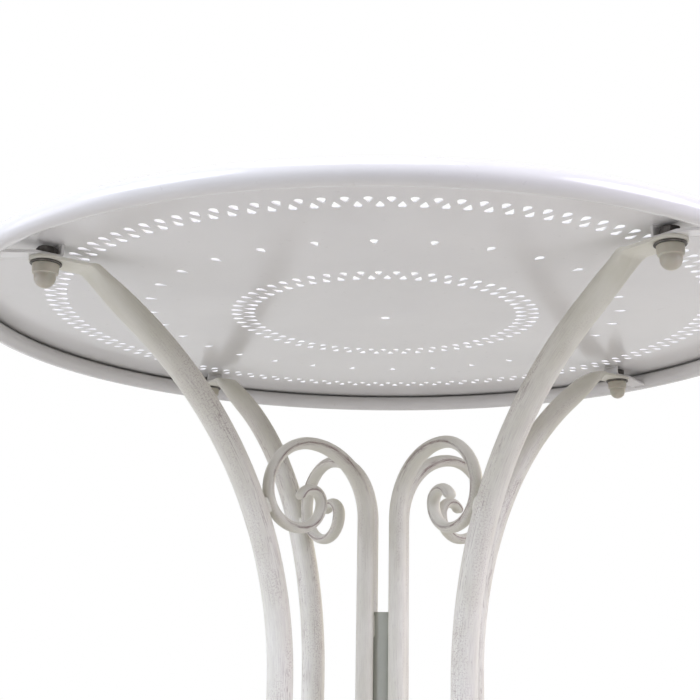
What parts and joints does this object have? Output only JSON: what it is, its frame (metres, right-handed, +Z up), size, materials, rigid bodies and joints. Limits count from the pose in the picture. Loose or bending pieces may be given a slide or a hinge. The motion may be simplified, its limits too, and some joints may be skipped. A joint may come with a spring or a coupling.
{
  "type": "round perforated metal garden table",
  "caption": "Round perforated sheet metal garden table with a rolled rim, on bowed tube legs joined by scroll bars round a short centre tube.",
  "frame": {"origin": "on the floor, under the middle of the round top", "axes": "+Z up; the legs stand on the +X, +Y, -X and -Y axes"},
  "size_m": [0.6999, 0.7, 0.74],
  "materials": {
    "sheet_paint": "semi-gloss antique white",
    "tube_paint": "semi-gloss antique white, rubbed brown along the ridges",
    "dark_steel": "dark phosphated",
    "zinc_steel": "zinc plated",
    "beige_plastic": "satin beige",
    "glide_plastic": "satin off-white"
  },
  "bodies": {
    "root": {"table_top": "sheet_paint", "bracket_1": "tube_paint", "bracket_2": "tube_paint", "bracket_3": "tube_paint", "bracket_4": "tube_paint", "leg_1": "tube_paint", "leg_2": "tube_paint", "leg_3": "tube_paint", "leg_4": "tube_paint", "scroll_1": "tube_paint", "scroll_2": "tube_paint", "scroll_3": "tube_paint", "scroll_4": "tube_paint", "centre_tube": "tube_paint", "bolts": "dark_steel", "washers": "dark_steel", "nuts": "zinc_steel", "nut_caps": "beige_plastic", "foot_glide_1": "glide_plastic", "foot_glide_2": "glide_plastic", "foot_glide_3": "glide_plastic", "foot_glide_4": "glide_plastic"}
  },
  "joints": []
}
